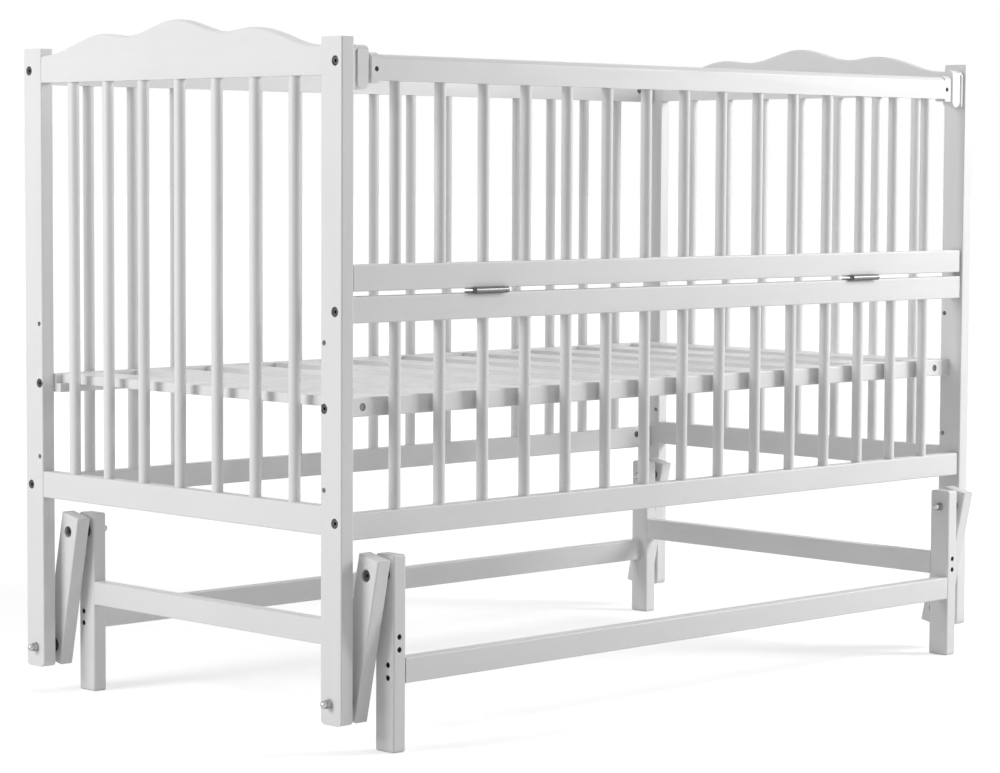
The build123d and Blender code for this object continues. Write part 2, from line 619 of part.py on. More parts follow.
add("rear_bottom_rail", rear_low)
add("rear_top_rail", rear_top)
add("rear_slats", *rear_slats)
add("front_bottom_rail", front_low)
add("front_middle_rail", front_mid)
add("front_lower_slats", *front_slats)
add("drop_side_bottom_rail", drop_low)
add("drop_side_top_rail", drop_top)
add("drop_side_slats", *drop_slats)
add("end_cap_screws", *cap_screws)
add("hinge_lower_leaves", *lower_leaves)
add("hinge_upper_leaves", *upper_leaves)
add("hinge_pins", *hinge_pins)
add("hinge_lower_screws", *lower_screws)
add("hinge_upper_screws", *upper_screws)

# Catches: a plate bolted to each front post and a springy lever that hangs from it
latch_bolts = []
for side_name, side in SIDES:
    lever_low_z = LATCH_TOP_Z - LATCH_LEVER_LENGTH
    low_x, high_x = sorted((side * (POST_X - LATCH_BACK_THICK), side * POST_X))
    plate = Pos(0, -RAIL_Y, 0) * crowned(low_x, high_x, lever_low_z, LATCH_TOP_Z, TOP_RAIL_CROWN)
    arm_low = LATCH_HINGE_Z - LATCH_BEAD_D / 2 - 1
    low_x, high_x = sorted((side * LATCH_HINGE_X, side * POST_X))
    arm = Pos(0, -RAIL_Y, 0) * crowned(low_x, high_x, lever_low_z, LATCH_TOP_Z, TOP_RAIL_CROWN)
    arm &= bar((low_x, high_x), (-RAIL_OUT_Y, -RAIL_IN_Y), (arm_low, LATCH_TOP_Z), Axis.Y, 0)
    plate += arm
    plate -= rod("y", -RAIL_OUT_Y - 1, -RAIL_IN_Y + 1, (side * LATCH_HINGE_X, LATCH_HINGE_Z),
                 LATCH_BEAD_D / 2 + LATCH_BEAD_PLAY)
    bolt_place = (-RAIL_Y, LATCH_BOLT_Z)
    plate -= rod("x", side * (POST_X - LATCH_BACK_THICK - 1), side * (POST_X + PAST), bolt_place,
                 BOLT_D / 2 + THREAD_PLAY)
    latch_bolts.append(frame_bolt(side, -RAIL_Y, LATCH_BOLT_Z, POST_X - LATCH_BACK_THICK))
    add(f"latch_bracket_{side_name}", plate)
    low_x, high_x = sorted((side * LATCH_LEVER_IN_X, side * LATCH_LEVER_OUT_X))
    lever = Pos(0, -RAIL_Y, 0) * crowned(low_x, high_x, lever_low_z, LATCH_TOP_Z, TOP_RAIL_CROWN)
    tip_r = LATCH_LEVER_THICK / 2
    tip_z = lever_low_z + tip_r
    middle_x = side * (LATCH_LEVER_IN_X + LATCH_LEVER_OUT_X) / 2
    upper_part = bar((low_x, high_x), (-RAIL_OUT_Y, -RAIL_IN_Y), (tip_z, LATCH_TOP_Z), Axis.Y, 0)
    lever &= upper_part + rod("y", -RAIL_OUT_Y, -RAIL_IN_Y, (middle_x, tip_z), tip_r)
    bead_y = (-RAIL_OUT_Y + LATCH_BEAD_INSET, -RAIL_IN_Y - LATCH_BEAD_INSET)
    bead_place = (side * LATCH_HINGE_X, LATCH_HINGE_Z)
    lever += bar((side * (LATCH_LEVER_OUT_X - PAST), side * LATCH_HINGE_X), bead_y,
                 (LATCH_HINGE_Z - LATCH_NECK / 2, LATCH_HINGE_Z + LATCH_NECK / 2), Axis.Y, 0)
    lever += rod("y", bead_y[0], bead_y[1], bead_place, LATCH_BEAD_D / 2)
    tooth_end = CAP_OUT_X + LATCH_TOOTH_CLEAR
    lever += rod("x", side * (LATCH_LEVER_IN_X + PAST), side * tooth_end, (-RAIL_Y, LATCH_TOOTH_Z),
                 LATCH_TOOTH_D / 2)
    add(f"latch_lever_{side_name}", lever)

# Mattress base: two long rails with a ledge inside, and cross slats lying on the ledges
base_low_z = BASE_Z - BASE_RAIL_HEIGHT / 2
base_top_z = BASE_Z + BASE_RAIL_HEIGHT / 2
ledge_z = base_top_z - BASE_SLAT_THICK
for depth_name, depth in DEPTHS:
    rail = bar((-POST_X, POST_X), (depth * BASE_RAIL_IN_Y, depth * BASE_RAIL_OUT_Y), (base_low_z, base_top_z),
               Axis.X, RAIL_EDGE_R)
    ledge_y = (depth * (BASE_RAIL_IN_Y - BASE_LEDGE), depth * (BASE_RAIL_IN_Y + RAIL_EDGE_R))
    rail += bar((-POST_X, POST_X), ledge_y, (base_low_z, ledge_z), Axis.X, 0)
    for _, side in SIDES:
        rail -= rail_end_cuts(side, depth * BASE_HOLE_Y, BASE_Z, depth * BASE_RAIL_OUT_Y, -depth)
    add(f"mattress_base_rail_{depth_name}", rail)
base_slats = []
slat_run = 2 * (POST_X - BASE_SLAT_END) - BASE_SLAT_WIDTH
for index in range(BASE_SLATS):
    middle = -slat_run / 2 + slat_run * index / (BASE_SLATS - 1)
    base_slats.append(bar((middle - BASE_SLAT_WIDTH / 2, middle + BASE_SLAT_WIDTH / 2),
                          (-BASE_RAIL_IN_Y, BASE_RAIL_IN_Y), (ledge_z, base_top_z), Axis.Y, RAIL_EDGE_R / 2))
add("mattress_base_slats", *base_slats)

# Bolts, cross nuts and dowels of the frame
frame_bolts = []
cross_nuts = []
dowels = []
bolt_end_x = POST_X - CROSS_NUT_IN - BOLT_PAST_NUT
for _, side in SIDES:
    for depth_name, depth in DEPTHS:
        for bolt_z, dowel_z in rail_joints[depth_name]:
            frame_bolts.append(frame_bolt(side, depth * RAIL_Y, bolt_z, bolt_end_x))
            cross_nuts.append(cross_nut(side, depth * RAIL_Y, bolt_z, depth * RAIL_IN_Y, depth))
            dowels.append(wood_dowel(side, depth * RAIL_Y, dowel_z))
        frame_bolts.append(frame_bolt(side, depth * BASE_HOLE_Y, BASE_Z, bolt_end_x))
        cross_nuts.append(cross_nut(side, depth * BASE_HOLE_Y, BASE_Z, depth * BASE_RAIL_OUT_Y, -depth))
        for dowel_z in panel_dowel_zs:
            low = depth * (POST_IN_Y - PANEL_DOWEL_IN)
            high = depth * (POST_IN_Y + PANEL_DOWEL_IN)
            dowels.append(rod("y", low, high, (side * END_X, dowel_z), PANEL_DOWEL_D / 2))
add("frame_bolts", *frame_bolts, *latch_bolts)
add("cross_nuts", *cross_nuts)
add("wood_dowels", *dowels)


def stand_screw(axis, start, direction, across, length):
    """Black wood screw with a sunk head; start is the outer face and direction goes into the wood."""
    head_end = start + direction * (SCREW_SUNK + SCREW_HEAD_HEIGHT)
    head_start = start + direction * SCREW_SUNK
    body = rod(axis, head_start, head_end, across, SCREW_HEAD_D / 2)
    body += rod(axis, head_end - direction * 0.5, start + direction * length, across, SCREW_D / 2)
    return body - hex_rod(axis, head_start - direction, head_start + direction * 2, across, SCREW_HEX)


def stand_screw_hole(axis, start, direction, across, length):
    """Stepped hole for a stand screw."""
    head_end = start + direction * (SCREW_SUNK + SCREW_HEAD_HEIGHT)
    body = rod(axis, start - direction, head_end, across, SCREW_HEAD_D / 2 + 0.1)
    return body + rod(axis, head_end - direction, start + direction * length, across, SCREW_D / 2)


# Swing stand: four legs, two long rails and two end rails
stand_cuts = []
stand_screws = []
long_screw = STAND_LEG_THICK + SCREW_IN_RAIL
end_screw = STAND_LEG_DEPTH + SCREW_IN_RAIL
long_screw_low = STAND_LONG_RAIL_UP + (STAND_RAIL_HEIGHT - SCREW_SPACING) / 2
end_screw_low = STAND_END_RAIL_UP + (STAND_RAIL_HEIGHT - SCREW_SPACING) / 2
for side_name, side in SIDES:
    for depth_name, depth in DEPTHS:
        leg_y = STAND_SHIFT_Y + depth * PIVOT_HALF_Y
        leg_out_y = leg_y + depth * STAND_LEG_DEPTH / 2
        for step in range(2):
            across = (leg_out_y - depth * STAND_RAIL_THICK / 2, long_screw_low + SCREW_SPACING * step)
            stand_cuts.append(stand_screw_hole("x", side * STAND_X, -side, across, long_screw))
            stand_screws.append(stand_screw("x", side * STAND_X, -side, across, long_screw))
            across = (side * (STAND_X - STAND_RAIL_THICK / 2), end_screw_low + SCREW_SPACING * step)
            stand_cuts.append(stand_screw_hole("y", leg_out_y, -depth, across, end_screw))
            stand_screws.append(stand_screw("y", leg_out_y, -depth, across, end_screw))

for side_name, side in SIDES:
    for depth_name, depth in DEPTHS:
        leg_y = STAND_SHIFT_Y + depth * PIVOT_HALF_Y
        leg_ys = (leg_y - STAND_LEG_DEPTH / 2, leg_y + STAND_LEG_DEPTH / 2)
        leg = bar((side * STAND_IN_X, side * STAND_X), leg_ys, (0, STAND_LEG_HEIGHT), Axis.Z, 0)
        leg = fillet(leg.edges(), STAND_EDGE_R)
        leg -= rod("x", side * (STAND_IN_X - 1), side * (STAND_X + 1), (leg_y, UPPER_PIVOT_Z),
                   BOLT_D / 2 + BOLT_HOLE_PLAY)
        for cut in stand_cuts:
            leg -= cut
        add(f"stand_leg_{depth_name}_{side_name}", leg)
for depth_name, depth in DEPTHS:
    out_y = STAND_SHIFT_Y + depth * (PIVOT_HALF_Y + STAND_LEG_DEPTH / 2)
    rail = bar((-STAND_IN_X, STAND_IN_X), (out_y, out_y - depth * STAND_RAIL_THICK),
               (STAND_LONG_RAIL_UP, STAND_LONG_RAIL_UP + STAND_RAIL_HEIGHT), Axis.X, RAIL_EDGE_R)
    for cut in stand_cuts:
        rail -= cut
    add(f"stand_rail_{depth_name}", rail)
for side_name, side in SIDES:
    half = PIVOT_HALF_Y - STAND_LEG_DEPTH / 2
    rail_xs = (side * STAND_X, side * (STAND_X - STAND_RAIL_THICK))
    rail = bar(rail_xs, (STAND_SHIFT_Y - half, STAND_SHIFT_Y + half),
               (STAND_END_RAIL_UP, STAND_END_RAIL_UP + STAND_RAIL_HEIGHT), Axis.Y, RAIL_EDGE_R)
    for cut in stand_cuts:
        rail -= cut
    add(f"stand_rail_{side_name}", rail)
add("stand_screws", *stand_screws)


def pivot_bolt(side, head_x, shoulder_x, out, place):
    """Shoulder bolt along X; it turns its head away from the leg and its thread goes through the leg."""
    away = 1 if head_x > shoulder_x else -1
    head = rod("x", side * head_x, side * (head_x + away * PIVOT_HEAD_HEIGHT), place, PIVOT_HEAD_D / 2)
    body = head + rod("x", side * head_x, side * shoulder_x, place, SHOULDER_D / 2)
    body += rod("x", side * (shoulder_x + away), side * out, place, BOLT_D / 2)
    key_end = head_x + away * PIVOT_HEAD_HEIGHT
    key_start = key_end - away * HEX_KEY_DEPTH
    return body - hex_rod("x", side * key_start, side * (key_end + away), place, HEX_KEY)


def washer(side, face_x, away, place):
    """Flat washer against a leg."""
    body = rod("x", side * face_x, side * (face_x + away * WASHER_THICK), place, WASHER_D / 2)
    hole_r = BOLT_D / 2 + BOLT_HOLE_PLAY
    return body - rod("x", side * (face_x - away), side * (face_x + away * (WASHER_THICK + 1)), place, hole_r)


def cap_nut(side, face_x, away, place):
    """Domed cap nut against a washer."""
    hex_end = face_x + away * CAP_NUT_HEX
    dome_r = CAP_NUT_DOME_D / 2
    dome_x = face_x + away * (CAP_NUT_HEIGHT - dome_r)
    prism = hex_rod("x", side * face_x, side * hex_end, place, CAP_NUT_ACROSS)
    body = prism & rod("x", side * face_x, side * hex_end, place, CAP_NUT_ACROSS / 2 * 1.12)
    body += rod("x", side * (hex_end - away), side * dome_x, place, dome_r)
    body += Pos(side * dome_x, place[0], place[1]) * Sphere(dome_r)
    return body - rod("x", side * (face_x - away), side * (face_x + away * CAP_NUT_DEPTH), place,
                      BOLT_D / 2 + THREAD_PLAY)


def bush(side, sleeve_end, link_face, flange_end, place):
    """Black flanged bush: its sleeve sits in the link and its flange fills the space to the leg."""
    body = rod("x", side * sleeve_end, side * link_face, place, BUSH_SLEEVE_D / 2)
    body += rod("x", side * link_face, side * flange_end, place, BUSH_FLANGE_D / 2)
    low, high = sorted((sleeve_end, flange_end))
    return body - rod("x", side * (low - 1), side * (high + 1), place, SHOULDER_D / 2 + SHOULDER_PLAY)


# Swing links with their bushes and pivot bolts
upper_bolts = []
upper_washers = []
upper_nuts = []
lower_bolts = []
lower_washers = []
lower_nuts = []
upper_sink_x = LINK_OUT_X - PIVOT_SINK_DEPTH
lower_sink_x = LINK_IN_X + PIVOT_SINK_DEPTH
for side_name, side in SIDES:
    for depth_name, depth in DEPTHS:
        low_place = (depth * PIVOT_HALF_Y, LOWER_PIVOT_Z)
        high_place = (depth * PIVOT_HALF_Y + STAND_SHIFT_Y, UPPER_PIVOT_Z)
        with BuildSketch(Plane.YZ) as link_profile:
            Rectangle(LINK_WIDTH, LINK_SPACING + 2 * LINK_BEYOND)
            corners = link_profile.vertices()
            fillet([v for v in corners if v.Y * v.Z > 0], LINK_BIG_R)
            half_length = LINK_SPACING / 2 + LINK_BEYOND
            sharp = [v for v in link_profile.vertices() if v.Y * v.Z < 0]
            fillet([v for v in sharp if abs(v.Y) > LINK_WIDTH / 2 - 0.01 and abs(v.Z) > half_length - 0.01],
                   LINK_SMALL_R)
        link = extrude(link_profile.sketch, LINK_THICK / 2, both=True)
        faces = link.faces().filter_by(Axis.X)
        link = fillet([e for face in faces for e in face.edges()], LINK_EDGE_R)
        middle_y = (low_place[0] + high_place[0]) / 2
        middle_z = (low_place[1] + high_place[1]) / 2
        link = Pos(side * (LINK_IN_X + LINK_OUT_X) / 2, middle_y, middle_z) * Rot(REST_TILT, 0, 0) * link
        link -= rod("x", side * (LINK_IN_X - PAST), side * (LINK_OUT_X + PAST), high_place, BUSH_SLEEVE_D / 2)
        link -= rod("x", side * (LINK_IN_X - PAST), side * (LINK_OUT_X + PAST), low_place, BUSH_SLEEVE_D / 2)
        link -= rod("x", side * upper_sink_x, side * (LINK_OUT_X + PAST), high_place, PIVOT_SINK_D / 2)
        link -= rod("x", side * lower_sink_x, side * (LINK_IN_X - PAST), low_place, PIVOT_SINK_D / 2)
        add(f"link_{depth_name}_{side_name}", link)
        upper_bush = bush(side, upper_sink_x, LINK_IN_X, STAND_X + BUSH_FACE_CLEAR, high_place)
        lower_bush = bush(side, lower_sink_x, LINK_OUT_X, POST_X - BUSH_FACE_CLEAR, low_place)
        add(f"link_bushes_{depth_name}_{side_name}", upper_bush, lower_bush)
        nut_face = STAND_IN_X - WASHER_THICK
        upper_bolts.append(pivot_bolt(side, upper_sink_x + PIVOT_HEAD_CLEAR, STAND_X,
                                      nut_face - CAP_NUT_DEPTH + 1, high_place))
        upper_washers.append(washer(side, STAND_IN_X, -1, high_place))
        upper_nuts.append(cap_nut(side, nut_face, -1, high_place))
        nut_face = POST_OUT_X + WASHER_THICK
        lower_bolts.append(pivot_bolt(side, lower_sink_x - PIVOT_HEAD_CLEAR, POST_X,
                                      nut_face + CAP_NUT_DEPTH - 1, low_place))
        lower_washers.append(washer(side, POST_OUT_X, 1, low_place))
        lower_nuts.append(cap_nut(side, nut_face, 1, low_place))
add("upper_pivot_bolts", *upper_bolts)
add("upper_pivot_washers", *upper_washers)
add("upper_cap_nuts", *upper_nuts)
add("lower_pivot_bolts", *lower_bolts)
add("lower_pivot_washers", *lower_washers)
add("lower_cap_nuts", *lower_nuts)

# Move the whole part so that its bottom centre is the origin, and write one file for each node
everything = Compound([solid for solids in pieces.values() for solid in solids])
bounds = everything.bounding_box()
shift_y = -(bounds.min.Y + bounds.max.Y) / 2
for name, solids in pieces.items():
    moved = [Pos(0, shift_y, 0) * solid for solid in solids]
    export_step(moved[0] if len(moved) == 1 else Compound(moved), f"parts/{name}.step")

print("nodes", len(pieces))
print("bounds", bounds.min, bounds.max)
print("shift along Y", round(shift_y, 4))
print("upper pivot front", round(-PIVOT_HALF_Y + STAND_SHIFT_Y + shift_y, 4), round(UPPER_PIVOT_Z, 4))
print("lower pivot front", round(-PIVOT_HALF_Y + shift_y, 4), round(LOWER_PIVOT_Z, 4))
print("drop side hinge", round(HINGE_Y + shift_y, 4), round(HINGE_Z, 4))
print("latch hinge", LATCH_HINGE_X, round(LATCH_HINGE_Z, 4))
print("mattress base top", round(base_top_z, 4), "foot of the posts", round(FOOT_Z, 4))
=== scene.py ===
import json
import math

import bpy
from mathutils import Matrix, Vector


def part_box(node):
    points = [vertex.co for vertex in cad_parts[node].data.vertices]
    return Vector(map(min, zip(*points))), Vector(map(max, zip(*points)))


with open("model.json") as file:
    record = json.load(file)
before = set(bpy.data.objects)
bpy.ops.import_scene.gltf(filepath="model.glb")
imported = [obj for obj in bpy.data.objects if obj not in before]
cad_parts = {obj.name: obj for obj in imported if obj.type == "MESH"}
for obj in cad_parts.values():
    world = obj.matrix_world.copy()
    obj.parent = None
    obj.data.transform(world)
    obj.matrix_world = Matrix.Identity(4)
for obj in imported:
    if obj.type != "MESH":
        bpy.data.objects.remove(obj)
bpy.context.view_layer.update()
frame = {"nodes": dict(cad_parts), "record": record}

# Materials


def node_tools(material):
    tree = material.node_tree
    tree.nodes.clear()

    def add(kind, **settings):
        node = tree.nodes.new(kind)
        for key, value in settings.items():
            setattr(node, key, value)
        return node

    def link(a, b):
        tree.links.new(a, b)

    return add, link


def new_material(name):
    material = bpy.data.materials.new(name)
    material.use_nodes = True
    return material


def ramp(add, low, high, low_value, high_value):
    node = add("ShaderNodeMapRange")
    node.inputs["From Min"].default_value = low
    node.inputs["From Max"].default_value = high
    node.inputs["To Min"].default_value = low_value
    node.inputs["To Max"].default_value = high_value
    return node


def painted_wood(name, grain, base=0.80, seed=0.0, roughness=0.42):
    """White satin paint over close-grained wood; grain is the axis that the fibres run along."""
    material = new_material(name)
    add, link = node_tools(material)
    out = add("ShaderNodeOutputMaterial")
    shader = add("ShaderNodeBsdfPrincipled")
    link(shader.outputs["BSDF"], out.inputs["Surface"])
    shader.inputs["IOR"].default_value = 1.47
    shader.inputs["Coat Weight"].default_value = 0.08
    shader.inputs["Coat Roughness"].default_value = 0.28

    place = add("ShaderNodeTexCoord")
    stretch = add("ShaderNodeMapping")
    stretch.inputs["Location"].default_value = (seed, seed * 0.7, seed * 1.3)
    stretch.inputs["Scale"].default_value = tuple(0.06 if axis == grain else 1.0 for axis in "xyz")
    link(place.outputs["Object"], stretch.inputs["Vector"])

    fibres = add("ShaderNodeTexNoise")
    fibres.inputs["Scale"].default_value = 420.0
    fibres.inputs["Detail"].default_value = 3.0
    fibres.inputs["Roughness"].default_value = 0.55
    link(stretch.outputs["Vector"], fibres.inputs["Vector"])

    bands = add("ShaderNodeTexNoise")
    bands.inputs["Scale"].default_value = 70.0
    bands.inputs["Detail"].default_value = 2.0
    bands.inputs["Distortion"].default_value = 0.6
    link(stretch.outputs["Vector"], bands.inputs["Vector"])

    orange_peel = add("ShaderNodeTexNoise")
    orange_peel.inputs["Scale"].default_value = 260.0
    orange_peel.inputs["Detail"].default_value = 1.0
    link(place.outputs["Object"], orange_peel.inputs["Vector"])

    clouds = add("ShaderNodeTexNoise")
    clouds.inputs["Scale"].default_value = 7.0
    clouds.inputs["Detail"].default_value = 3.0
    link(place.outputs["Object"], clouds.inputs["Vector"])

    # colour: an even white with a breath of the grain below it and slow patches of thicker paint
    tone = add("ShaderNodeMath", operation="MULTIPLY_ADD")
    link(bands.outputs["Fac"], tone.inputs[0])
    tone.inputs[1].default_value = 0.5
    link(clouds.outputs["Fac"], tone.inputs[2])
    tone_range = ramp(add, 0.45, 1.05, 0.0, 1.0)
    link(tone.outputs["Value"], tone_range.inputs["Value"])
    colour = add("ShaderNodeMix", data_type="RGBA")
    colour.inputs["A"].default_value = (base * 0.965, base * 0.965, base * 0.968, 1)
    colour.inputs["B"].default_value = (base * 1.02, base * 1.018, base * 1.015, 1)
    link(tone_range.outputs["Result"], colour.inputs["Factor"])

    # crevices gather a little shade where pieces meet
    crevice = add("ShaderNodeAmbientOcclusion")
    crevice.inputs["Distance"].default_value = 0.008
    crevice.samples = 4
    crevice_range = ramp(add, 0.30, 0.90, 0.86, 1.0)
    link(crevice.outputs["AO"], crevice_range.inputs["Value"])
    shaded = add("ShaderNodeMix", data_type="RGBA", blend_type="MULTIPLY")
    shaded.inputs["Factor"].default_value = 1.0
    link(colour.outputs["Result"], shaded.inputs["A"])
    link(crevice_range.outputs["Result"], shaded.inputs["B"])
    link(shaded.outputs["Result"], shader.inputs["Base Color"])

    gloss = ramp(add, 0.3, 0.7, roughness - 0.06, roughness + 0.08)
    link(bands.outputs["Fac"], gloss.inputs["Value"])
    link(gloss.outputs["Result"], shader.inputs["Roughness"])

    height = add("ShaderNodeMath", operation="MULTIPLY_ADD")
    link(fibres.outputs["Fac"], height.inputs[0])
    height.inputs[1].default_value = 0.55
    link(bands.outputs["Fac"], height.inputs[2])
    relief = add("ShaderNodeBump")
    relief.inputs["Strength"].default_value = 0.16
    relief.inputs["Distance"].default_value = 0.0006
    link(height.outputs["Value"], relief.inputs["Height"])
    peel = add("ShaderNodeBump")
    peel.inputs["Strength"].default_value = 0.05
    peel.inputs["Distance"].default_value = 0.0005
    link(orange_peel.outputs["Fac"], peel.inputs["Height"])
    link(relief.outputs["Normal"], peel.inputs["Normal"])
    link(peel.outputs["Normal"], shader.inputs["Normal"])
    return material


def bare_wood(name):
    """Bare beech for the dowels, which show only when the crib is taken apart."""
    material = new_material(name)
    add, link = node_tools(material)
    out = add("ShaderNodeOutputMaterial")
    shader = add("ShaderNodeBsdfPrincipled")
    link(shader.outputs["BSDF"], out.inputs["Surface"])
    shader.inputs["Roughness"].default_value = 0.6
    place = add("ShaderNodeTexCoord")
    stretch = add("ShaderNodeMapping")
    stretch.inputs["Scale"].default_value = (0.15, 0.15, 1.0)
    link(place.outputs["Object"], stretch.inputs["Vector"])
    fibres = add("ShaderNodeTexNoise")
    fibres.inputs["Scale"].default_value = 300.0
    fibres.inputs["Detail"].default_value = 4.0
    link(stretch.outputs["Vector"], fibres.inputs["Vector"])
    colour = add("ShaderNodeMix", data_type="RGBA")
    colour.inputs["A"].default_value = (0.42, 0.27, 0.15, 1)
    colour.inputs["B"].default_value = (0.66, 0.48, 0.31, 1)
    link(fibres.outputs["Fac"], colour.inputs["Factor"])
    link(colour.outputs["Result"], shader.inputs["Base Color"])
    relief = add("ShaderNodeBump")
    relief.inputs["Strength"].default_value = 0.25
    relief.inputs["Distance"].default_value = 0.0004
    link(fibres.outputs["Fac"], relief.inputs["Height"])
    link(relief.outputs["Normal"], shader.inputs["Normal"])
    return material


def plastic(name, low, high, roughness, grain_scale, bump, coat=0.0):
    """Moulded plastic with a fine spark-eroded grain and slight colour drift."""
    material = new_material(name)
    add, link = node_tools(material)
    out = add("ShaderNodeOutputMaterial")
    shader = add("ShaderNodeBsdfPrincipled")
    link(shader.outputs["BSDF"], out.inputs["Surface"])
    shader.inputs["IOR"].default_value = 1.49
    shader.inputs["Coat Weight"].default_value = coat
    shader.inputs["Coat Roughness"].default_value = 0.3
    place = add("ShaderNodeTexCoord")
    skin = add("ShaderNodeTexNoise")
    skin.inputs["Scale"].default_value = grain_scale
    skin.inputs["Detail"].default_value = 2.0
    link(place.outputs["Object"], skin.inputs["Vector"])
    drift = add("ShaderNodeTexNoise")
    drift.inputs["Scale"].default_value = 55.0
    drift.inputs["Detail"].default_value = 3.0
    link(place.outputs["Object"], drift.inputs["Vector"])
    colour = add("ShaderNodeMix", data_type="RGBA")
    colour.inputs["A"].default_value = (*low, 1)
    colour.inputs["B"].default_value = (*high, 1)
    link(drift.outputs["Fac"], colour.inputs["Factor"])
    link(colour.outputs["Result"], shader.inputs["Base Color"])
    gloss = ramp(add, 0.3, 0.7, roughness - 0.05, roughness + 0.07)
    link(drift.outputs["Fac"], gloss.inputs["Value"])
    link(gloss.outputs["Result"], shader.inputs["Roughness"])
    relief = add("ShaderNodeBump")
    relief.inputs["Strength"].default_value = bump
    relief.inputs["Distance"].default_value = 0.0003
    link(skin.outputs["Fac"], relief.inputs["Height"])
    link(relief.outputs["Normal"], shader.inputs["Normal"])
    return material


def metal(name, low, high, roughness, spread, metallic=1.0, scratch=0.12, rim_reflection_dim=0.8):
    """Plated or blackened steel with fine scratches and uneven plating."""
    material = new_material(name)
    add, link = node_tools(material)
    out = add("ShaderNodeOutputMaterial")
    shader = add("ShaderNodeBsdfPrincipled")
    link(shader.outputs["BSDF"], out.inputs["Surface"])
    shader.inputs["Metallic"].default_value = metallic
    place = add("ShaderNodeTexCoord")
    stretch = add("ShaderNodeMapping")
    stretch.inputs["Scale"].default_value = (0.1, 1.0, 1.0)
    stretch.inputs["Rotation"].default_value = (0.3, 0.5, 0.9)
    link(place.outputs["Object"], stretch.inputs["Vector"])
    lines = add("ShaderNodeTexNoise")
    lines.inputs["Scale"].default_value = 1500.0
    lines.inputs["Detail"].default_value = 3.0
    link(stretch.outputs["Vector"], lines.inputs["Vector"])
    patches = add("ShaderNodeTexNoise")
    patches.inputs["Scale"].default_value = 180.0
    patches.inputs["Detail"].default_value = 4.0
    link(place.outputs["Object"], patches.inputs["Vector"])
    colour = add("ShaderNodeMix", data_type="RGBA")
    colour.inputs["A"].default_value = (*low, 1)
    colour.inputs["B"].default_value = (*high, 1)
    link(patches.outputs["Fac"], colour.inputs["Factor"])
    # mirrored rays see white here, so a darker rim is a painted reflection of the dim side of a room
    rim = add("ShaderNodeLayerWeight")
    rim.inputs["Blend"].default_value = 0.35
    rim_range = ramp(add, 0.25, 0.85, 1.0, rim_reflection_dim)
    link(rim.outputs["Facing"], rim_range.inputs["Value"])
    rimmed = add("ShaderNodeMix", data_type="RGBA", blend_type="MULTIPLY")
    rimmed.inputs["Factor"].default_value = 1.0
    link(colour.outputs["Result"], rimmed.inputs["A"])
    link(rim_range.outputs["Result"], rimmed.inputs["B"])
    link(rimmed.outputs["Result"], shader.inputs["Base Color"])
    gloss = ramp(add, 0.3, 0.7, roughness, roughness + spread)
    link(patches.outputs["Fac"], gloss.inputs["Value"])
    link(gloss.outputs["Result"], shader.inputs["Roughness"])
    relief = add("ShaderNodeBump")
    relief.inputs["Strength"].default_value = scratch
    relief.inputs["Distance"].default_value = 0.0002
    link(lines.outputs["Fac"], relief.inputs["Height"])
    link(relief.outputs["Normal"], shader.inputs["Normal"])
    return material


paint = {axis: painted_wood(f"white_paint_grain_{axis}", axis, seed=2.0 * i) for i, axis in enumerate("xyz")}
beech = bare_wood("bare_beech")
white_plastic = plastic("white_moulded_plastic", (0.78, 0.78, 0.785), (0.83, 0.83, 0.83), 0.36, 900.0, 0.06,
                        0.05)
black_plastic = plastic("black_moulded_plastic", (0.012, 0.012, 0.013), (0.022, 0.022, 0.023), 0.48, 1200.0,
                        0.15)
black_steel = metal("black_oxide_steel", (0.05, 0.05, 0.052), (0.13, 0.13, 0.133), 0.26, 0.16, 0.9, 0.1,
                    rim_reflection_dim=0.3)
# near black, darker than the black oxide bolts: the screws are black, and the shade of the holes they sit in
# is painted into them
screws_black_with_painted_hole_shade = metal("black_screws_with_painted_hole_shade", (0.008, 0.008, 0.009), (0.025, 0.025, 0.026), 0.34, 0.16, 0.6, 0.1,
                    rim_reflection_dim=0.5)
nickel = metal("bright_nickel", (0.40, 0.40, 0.41), (0.56, 0.56, 0.57), 0.09, 0.10, 1.0, 0.05, rim_reflection_dim=0.10)
zinc = metal("zinc_plate", (0.12, 0.12, 0.123), (0.22, 0.22, 0.226), 0.26, 0.16, 1.0, 0.1, rim_reflection_dim=0.35)

# the materials that aren't paint, by the slot that the CAD record names
special = {
    "bare_beech": beech,
    "white_plastic": white_plastic,
    "black_plastic": black_plastic,
    "black_steel": black_steel,
    "nickel_steel": nickel,
    "zinc_steel": zinc,
}
slot_of = {item["node"]: item["material_slot"] for item in frame["record"]["subparts"]}
for name, obj in frame["nodes"].items():
    kind = slot_of[name]
    # these screws carry the painted hole shade on top of their own black
    if name in ("end_cap_screws", "stand_screws"):
        chosen = screws_black_with_painted_hole_shade
    elif kind in special:
        chosen = special[kind]
    else:
        # the fibres run along a piece's longest side, except in the pieces that hold several bars
        low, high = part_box(name)
        size = [high[i] - low[i] for i in range(3)]
        if name == "mattress_base_slats":
            axis = "y"
        elif name.endswith("slats"):
            axis = "z"
        else:
            axis = "xyz"[size.index(max(size))]
        chosen = paint[axis]
    for index in range(len(obj.material_slots)):
        obj.material_slots[index].material = chosen

# Floor, backdrop and light


def sees_white(add, link):
    """1 for the camera's own rays and for those mirrored or let through by a surface, else 0."""
    path = add("ShaderNodeLightPath")
    mirrored = add("ShaderNodeMath", operation="MAXIMUM")
    link(path.outputs["Is Camera Ray"], mirrored.inputs[0])
    link(path.outputs["Is Glossy Ray"], mirrored.inputs[1])
    passed = add("ShaderNodeMath", operation="MAXIMUM")
    link(mirrored.outputs["Value"], passed.inputs[0])
    link(path.outputs["Is Transmission Ray"], passed.inputs[1])
    return passed.outputs["Value"]


FLOOR_HALF = 60.0
FLOOR_WHITE = 0.76
GLOW_NEAR, GLOW_FAR = 1.2, 3.2
GLOW_LOW, GLOW_HIGH = 0.50, 0.90
ROOM_LIGHT = 0.24

